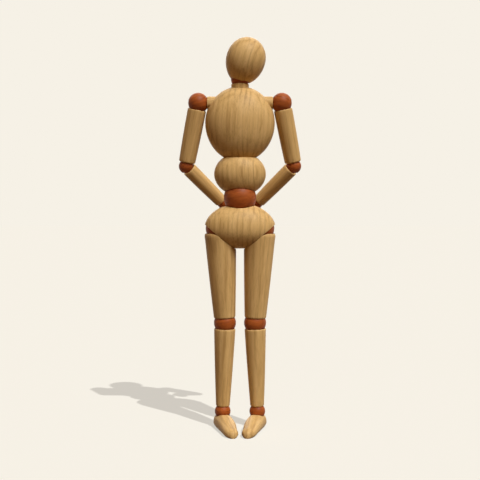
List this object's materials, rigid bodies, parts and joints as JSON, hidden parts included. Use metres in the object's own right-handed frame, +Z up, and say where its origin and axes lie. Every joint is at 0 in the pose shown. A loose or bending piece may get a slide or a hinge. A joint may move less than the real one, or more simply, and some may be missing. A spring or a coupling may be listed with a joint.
{
  "type": "artist mannequin",
  "caption": "Jointed wooden drawing figure with a plain egg-shaped head, turned limbs and stained ball joints, standing on its own feet with its hands behind its back.",
  "frame": {"origin": "on the floor, under the middle of the bounding box", "axes": "+Z up, the figure faces -Y, its right side is at -X"},
  "size_m": [0.0948, 0.0646, 0.2997],
  "materials": {
    "pale_wood": "satin, straight grain",
    "stained_wood": "satin terracotta stain",
    "steel": "drawn wire"
  },
  "bodies": {
    "pelvis": {"pelvis": "pale_wood", "hip_spring": "steel", "waist_eye": "steel"},
    "waist_ball": {"waist_ball": "stained_wood"},
    "abdomen": {"abdomen": "pale_wood", "spine_spring": "steel"},
    "chest": {"chest": "pale_wood", "right_shoulder_stub": "pale_wood", "left_shoulder_stub": "pale_wood", "shoulder_spring": "steel", "chest_stud": "steel"},
    "neck": {"neck": "pale_wood", "neck_eye": "steel"},
    "neck_ball": {"neck_ball": "stained_wood"},
    "head": {"head": "pale_wood", "head_spring": "steel"},
    "right_shoulder_ball": {"right_shoulder_ball": "stained_wood", "right_shoulder_eye": "steel"},
    "right_upper_arm": {"right_upper_arm": "pale_wood", "right_upper_arm_spring": "steel"},
    "right_elbow_ball": {"right_elbow_ball": "stained_wood", "right_elbow_eye": "steel"},
    "right_forearm": {"right_forearm": "pale_wood", "right_forearm_spring": "steel"},
    "right_wrist_ball": {"right_wrist_ball": "stained_wood"},
    "right_hand": {"right_hand": "pale_wood", "right_hand_hook": "steel"},
    "right_hip_ball": {"right_hip_ball": "stained_wood", "right_hip_eye": "steel"},
    "right_thigh": {"right_thigh": "pale_wood", "right_thigh_spring": "steel"},
    "right_knee_ball": {"right_knee_ball": "stained_wood", "right_knee_eye": "steel"},
    "right_shin": {"right_shin": "pale_wood", "right_shin_spring": "steel"},
    "right_ankle_ball": {"right_ankle_ball": "stained_wood"},
    "right_foot": {"right_foot": "pale_wood", "right_foot_hook": "steel"},
    "left_shoulder_ball": {"left_shoulder_ball": "stained_wood", "left_shoulder_eye": "steel"},
    "left_upper_arm": {"left_upper_arm": "pale_wood", "left_upper_arm_spring": "steel"},
    "left_elbow_ball": {"left_elbow_ball": "stained_wood", "left_elbow_eye": "steel"},
    "left_forearm": {"left_forearm": "pale_wood", "left_forearm_spring": "steel"},
    "left_wrist_ball": {"left_wrist_ball": "stained_wood"},
    "left_hand": {"left_hand": "pale_wood", "left_hand_hook": "steel"},
    "left_hip_ball": {"left_hip_ball": "stained_wood", "left_hip_eye": "steel"},
    "left_thigh": {"left_thigh": "pale_wood", "left_thigh_spring": "steel"},
    "left_knee_ball": {"left_knee_ball": "stained_wood", "left_knee_eye": "steel"},
    "left_shin": {"left_shin": "pale_wood", "left_shin_spring": "steel"},
    "left_ankle_ball": {"left_ankle_ball": "stained_wood"},
    "left_foot": {"left_foot": "pale_wood", "left_foot_hook": "steel"}
  },
  "joints": [
    {"name": "waist_tilt", "type": "hinge", "parent": "pelvis", "child": "waist_ball", "pos_m": [0, -0.00071, 0.1778], "axis": [0, 1, 0], "range_deg": [-10, 10]},
    {"name": "waist_bend", "type": "hinge", "parent": "waist_ball", "child": "abdomen", "pos_m": [0, -0.00071, 0.1778], "axis": [1, 0, 0], "range_deg": [-8, 20]},
    {"name": "chest_turn", "type": "hinge", "parent": "abdomen", "child": "chest", "pos_m": [0, -0.00071, 0.2349], "axis": [0, 0, 1], "range_deg": [-20, 20]},
    {"name": "neck_turn", "type": "hinge", "parent": "chest", "child": "neck", "pos_m": [0, -0.00071, 0.2679], "axis": [0, 0, 1], "range_deg": [-60, 60]},
    {"name": "neck_tilt", "type": "hinge", "parent": "neck", "child": "neck_ball", "pos_m": [0, -0.00071, 0.2679], "axis": [0, 1, 0], "range_deg": [-25, 5]},
    {"name": "head_nod", "type": "hinge", "parent": "neck_ball", "child": "head", "pos_m": [0, -0.00071, 0.2679], "axis": [0.9588, 0, -0.284], "range_deg": [-12, 12]},
    {"name": "right_shoulder_swing", "type": "hinge", "parent": "chest", "child": "right_shoulder_ball", "pos_m": [-0.0319, -0.00071, 0.2499], "axis": [1, 0, 0], "range_deg": [0, 40]},
    {"name": "right_shoulder_raise", "type": "hinge", "parent": "right_shoulder_ball", "child": "right_upper_arm", "pos_m": [-0.0319, -0.00071, 0.2499], "axis": [0, -0.9863, -0.165], "range_deg": [-60, 0]},
    {"name": "right_elbow_turn", "type": "hinge", "parent": "right_upper_arm", "child": "right_elbow_ball", "pos_m": [-0.0416, 0.00727, 0.20222], "axis": [0.1967, -0.1618, 0.967], "range_deg": [0, 90]},
    {"name": "right_elbow_bend", "type": "hinge", "parent": "right_elbow_ball", "child": "right_forearm", "pos_m": [-0.0416, 0.00727, 0.20222], "axis": [0.3147, -0.9237, -0.2186], "range_deg": [-50, 0]},
    {"name": "right_wrist_tilt", "type": "hinge", "parent": "right_forearm", "child": "right_wrist_ball", "pos_m": [-0.01378, 0.02333, 0.1744], "axis": [0.8423, 0.1656, 0.513], "range_deg": [-12, 12]},
    {"name": "right_wrist_bend", "type": "hinge", "parent": "right_wrist_ball", "child": "right_hand", "pos_m": [-0.01378, 0.02333, 0.1744], "axis": [0.3026, -0.9328, -0.1958], "range_deg": [-10, 10]},
    {"name": "right_hip_swing", "type": "hinge", "parent": "pelvis", "child": "right_hip_ball", "pos_m": [-0.0153, -0.00071, 0.1543], "axis": [1, 0, 0], "range_deg": [-25, 25]},
    {"name": "right_hip_spread", "type": "hinge", "parent": "right_hip_ball", "child": "right_thigh", "pos_m": [-0.0153, -0.00071, 0.1543], "axis": [0, -0.9994, -0.0349], "range_deg": [-20, 0]},
    {"name": "right_knee_turn", "type": "hinge", "parent": "right_thigh", "child": "right_knee_ball", "pos_m": [-0.01161, 0.00184, 0.08143], "axis": [-0.0506, -0.0349, 0.9981], "range_deg": [-30, 0]},
    {"name": "right_knee_bend", "type": "hinge", "parent": "right_knee_ball", "child": "right_shin", "pos_m": [-0.01161, 0.00184, 0.08143], "axis": [0.9987, -0.0018, 0.0505], "range_deg": [0, 45]},
    {"name": "right_ankle_roll", "type": "hinge", "parent": "right_shin", "child": "right_ankle_ball", "pos_m": [-0.01341, 0.00424, 0.0125], "axis": [0, 0.9994, 0.0349], "range_deg": [-10, 10]},
    {"name": "right_ankle_pitch", "type": "hinge", "parent": "right_ankle_ball", "child": "right_foot", "pos_m": [-0.01341, 0.00424, 0.0125], "axis": [0.9997, 0.0009, -0.0261], "range_deg": [-15, 15]},
    {"name": "left_shoulder_swing", "type": "hinge", "parent": "chest", "child": "left_shoulder_ball", "pos_m": [0.0319, -0.00071, 0.2499], "axis": [1, 0, 0], "range_deg": [0, 40]},
    {"name": "left_shoulder_raise", "type": "hinge", "parent": "left_shoulder_ball", "child": "left_upper_arm", "pos_m": [0.0319, -0.00071, 0.2499], "axis": [0, 0.9863, 0.165], "range_deg": [-60, 0]},
    {"name": "left_elbow_turn", "type": "hinge", "parent": "left_upper_arm", "child": "left_elbow_ball", "pos_m": [0.0416, 0.00727, 0.20222], "axis": [0.1967, 0.1618, -0.967], "range_deg": [0, 90]},
    {"name": "left_elbow_bend", "type": "hinge", "parent": "left_elbow_ball", "child": "left_forearm", "pos_m": [0.0416, 0.00727, 0.20222], "axis": [0.3147, 0.9237, 0.2186], "range_deg": [-50, 0]},
    {"name": "left_wrist_tilt", "type": "hinge", "parent": "left_forearm", "child": "left_wrist_ball", "pos_m": [0.01378, 0.02333, 0.1744], "axis": [0.8423, -0.1656, -0.513], "range_deg": [-12, 12]},
    {"name": "left_wrist_bend", "type": "hinge", "parent": "left_wrist_ball", "child": "left_hand", "pos_m": [0.01378, 0.02333, 0.1744], "axis": [0.3026, 0.9328, 0.1958], "range_deg": [-10, 10]},
    {"name": "left_hip_swing", "type": "hinge", "parent": "pelvis", "child": "left_hip_ball", "pos_m": [0.0153, -0.00071, 0.1543], "axis": [1, 0, 0], "range_deg": [-25, 25]},
    {"name": "left_hip_spread", "type": "hinge", "parent": "left_hip_ball", "child": "left_thigh", "pos_m": [0.0153, -0.00071, 0.1543], "axis": [0, 0.9994, 0.0349], "range_deg": [-20, 0]},
    {"name": "left_knee_turn", "type": "hinge", "parent": "left_thigh", "child": "left_knee_ball", "pos_m": [0.01161, 0.00184, 0.08143], "axis": [-0.0506, 0.0349, -0.9981], "range_deg": [-30, 0]},
    {"name": "left_knee_bend", "type": "hinge", "parent": "left_knee_ball", "child": "left_shin", "pos_m": [0.01161, 0.00184, 0.08143], "axis": [0.9987, 0.0018, -0.0505], "range_deg": [0, 45]},
    {"name": "left_ankle_roll", "type": "hinge", "parent": "left_shin", "child": "left_ankle_ball", "pos_m": [0.01341, 0.00424, 0.0125], "axis": [0, -0.9994, -0.0349], "range_deg": [-10, 10]},
    {"name": "left_ankle_pitch", "type": "hinge", "parent": "left_ankle_ball", "child": "left_foot", "pos_m": [0.01341, 0.00424, 0.0125], "axis": [0.9997, -0.0009, 0.0261], "range_deg": [-15, 15]}
  ]
}
